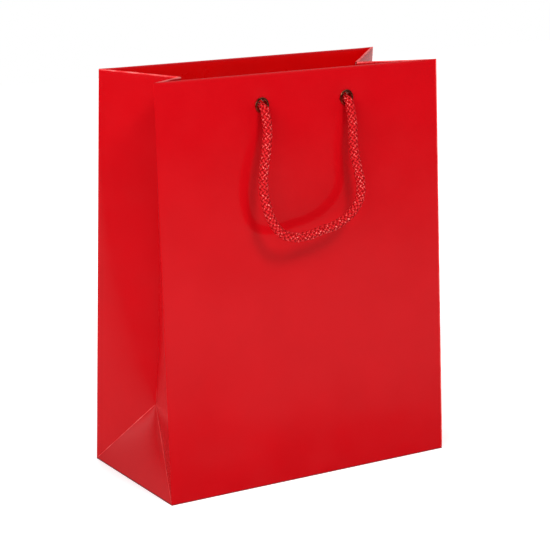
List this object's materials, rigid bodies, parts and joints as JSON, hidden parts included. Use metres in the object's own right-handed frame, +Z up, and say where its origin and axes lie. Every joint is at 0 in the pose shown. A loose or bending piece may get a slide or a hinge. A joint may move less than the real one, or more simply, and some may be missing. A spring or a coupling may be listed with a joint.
{
  "type": "gift bag",
  "caption": "Glossy paper gift bag with side gussets, a flat glued bottom with a loose board, a turned-over mouth, metal eyelets and knotted rope handles.",
  "frame": {"origin": "middle of the base, on the surface that the bag stands on", "axes": "+Z up, front panel towards -Y, +X to the right seen from the front"},
  "size_m": [0.2014, 0.121, 0.2538],
  "materials": {
    "red_paper": "gloss laminated",
    "inner_paper": "matt uncoated",
    "card": "matt board",
    "eyelet_metal": "polished",
    "rope": "shiny braided polypropylene"
  },
  "bodies": {
    "base": {"base_front_flap": "red_paper", "base_back_flap": "red_paper", "base_left_flap": "inner_paper", "base_right_flap": "inner_paper", "base_board": "card"},
    "front_panel": {"front_panel": "red_paper", "front_mouth_card": "card", "front_left_eyelet": "eyelet_metal", "front_left_washer": "eyelet_metal", "front_left_knot": "rope", "front_right_eyelet": "eyelet_metal", "front_right_washer": "eyelet_metal", "front_right_knot": "rope"},
    "back_panel": {"back_panel": "red_paper", "back_mouth_card": "card", "back_left_eyelet": "eyelet_metal", "back_left_washer": "eyelet_metal", "back_left_knot": "rope", "back_right_eyelet": "eyelet_metal", "back_right_washer": "eyelet_metal", "back_right_knot": "rope", "glue_tab": "inner_paper"},
    "left_foot": {"left_gusset_foot": "red_paper"},
    "right_foot": {"right_gusset_foot": "red_paper"},
    "left_front_lower": {"left_front_gusset_lower": "red_paper"},
    "left_front_upper": {"left_front_gusset_upper": "red_paper"},
    "left_back_lower": {"left_back_gusset_lower": "red_paper"},
    "left_back_upper": {"left_back_gusset_upper": "red_paper"},
    "right_front_lower": {"right_front_gusset_lower": "red_paper"},
    "right_front_upper": {"right_front_gusset_upper": "red_paper"},
    "right_back_lower": {"right_back_gusset_lower": "red_paper"},
    "right_back_upper": {"right_back_gusset_upper": "red_paper"},
    "front_handle": {"front_handle": "rope"},
    "back_handle": {"back_handle": "rope"}
  },
  "joints": [
    {"name": "front_panel_lean", "type": "hinge", "parent": "base", "child": "front_panel", "pos_m": [0, -0.0502, 0.0002], "axis": [-1, 0, 0], "range_deg": [0, 5], "stiffness_Nm_per_rad": 0.12, "springref_deg": -3.44},
    {"name": "back_panel_lean", "type": "hinge", "parent": "base", "child": "back_panel", "pos_m": [0, 0.0502, 0.0002], "axis": [1, 0, 0], "range_deg": [0, 5], "stiffness_Nm_per_rad": 0.12, "springref_deg": -3.44},
    {"name": "left_foot_tuck", "type": "hinge", "parent": "base", "child": "left_foot", "pos_m": [-0.1005, 0, 0.0002], "axis": [0, 1, 0], "range_deg": [0, 11.51]},
    {"name": "right_foot_tuck", "type": "hinge", "parent": "base", "child": "right_foot", "pos_m": [0.1005, 0, 0.0002], "axis": [0, -1, 0], "range_deg": [0, 11.51]},
    {"name": "left_front_corner_fold", "type": "hinge", "parent": "front_panel", "child": "left_front_lower", "pos_m": [-0.1005, -0.0502, 0.0002], "axis": [0, -0.0593, -0.9982], "range_deg": [0, 11.81]},
    {"name": "left_front_diagonal_fold", "type": "hinge", "parent": "left_front_lower", "child": "left_front_upper", "pos_m": [-0.0837, 0, 0.04751], "axis": [0.08, 0.1674, -0.9826], "range_deg": [0, 18.46]},
    {"name": "left_back_corner_fold", "type": "hinge", "parent": "back_panel", "child": "left_back_lower", "pos_m": [-0.1005, 0.0502, 0.0002], "axis": [0, -0.0593, 0.9982], "range_deg": [0, 11.81]},
    {"name": "left_back_diagonal_fold", "type": "hinge", "parent": "left_back_lower", "child": "left_back_upper", "pos_m": [-0.0837, 0, 0.04751], "axis": [-0.08, 0.1674, 0.9826], "range_deg": [0, 18.46]},
    {"name": "right_front_corner_fold", "type": "hinge", "parent": "front_panel", "child": "right_front_lower", "pos_m": [0.1005, -0.0502, 0.0002], "axis": [0, 0.0593, 0.9982], "range_deg": [0, 11.81]},
    {"name": "right_front_diagonal_fold", "type": "hinge", "parent": "right_front_lower", "child": "right_front_upper", "pos_m": [0.0837, 0, 0.04751], "axis": [0.08, -0.1674, 0.9826], "range_deg": [0, 18.46]},
    {"name": "right_back_corner_fold", "type": "hinge", "parent": "back_panel", "child": "right_back_lower", "pos_m": [0.1005, 0.0502, 0.0002], "axis": [0, 0.0593, -0.9982], "range_deg": [0, 11.81]},
    {"name": "right_back_diagonal_fold", "type": "hinge", "parent": "right_back_lower", "child": "right_back_upper", "pos_m": [0.0837, 0, 0.04751], "axis": [-0.08, -0.1674, -0.9826], "range_deg": [0, 18.46]},
    {"name": "front_handle_swing", "type": "hinge", "parent": "front_panel", "child": "front_handle", "pos_m": [0, -0.04064, 0.23525], "axis": [-1, 0, 0], "range_deg": [0, 170]},
    {"name": "back_handle_swing", "type": "hinge", "parent": "back_panel", "child": "back_handle", "pos_m": [0, 0.04064, 0.23525], "axis": [1, 0, 0], "range_deg": [0, 170]}
  ],
  "couplings": [
    {"joint": "back_panel_lean", "follows": "front_panel_lean", "ratio": 1},
    {"joint": "left_foot_tuck", "follows": "front_panel_lean", "ratio": 2.3},
    {"joint": "right_foot_tuck", "follows": "front_panel_lean", "ratio": 2.3},
    {"joint": "left_front_corner_fold", "follows": "front_panel_lean", "ratio": 2.36},
    {"joint": "left_front_diagonal_fold", "follows": "front_panel_lean", "ratio": 3.69},
    {"joint": "left_back_corner_fold", "follows": "front_panel_lean", "ratio": 2.36},
    {"joint": "left_back_diagonal_fold", "follows": "front_panel_lean", "ratio": 3.69},
    {"joint": "right_front_corner_fold", "follows": "front_panel_lean", "ratio": 2.36},
    {"joint": "right_front_diagonal_fold", "follows": "front_panel_lean", "ratio": 3.69},
    {"joint": "right_back_corner_fold", "follows": "front_panel_lean", "ratio": 2.36},
    {"joint": "right_back_diagonal_fold", "follows": "front_panel_lean", "ratio": 3.69}
  ]
}
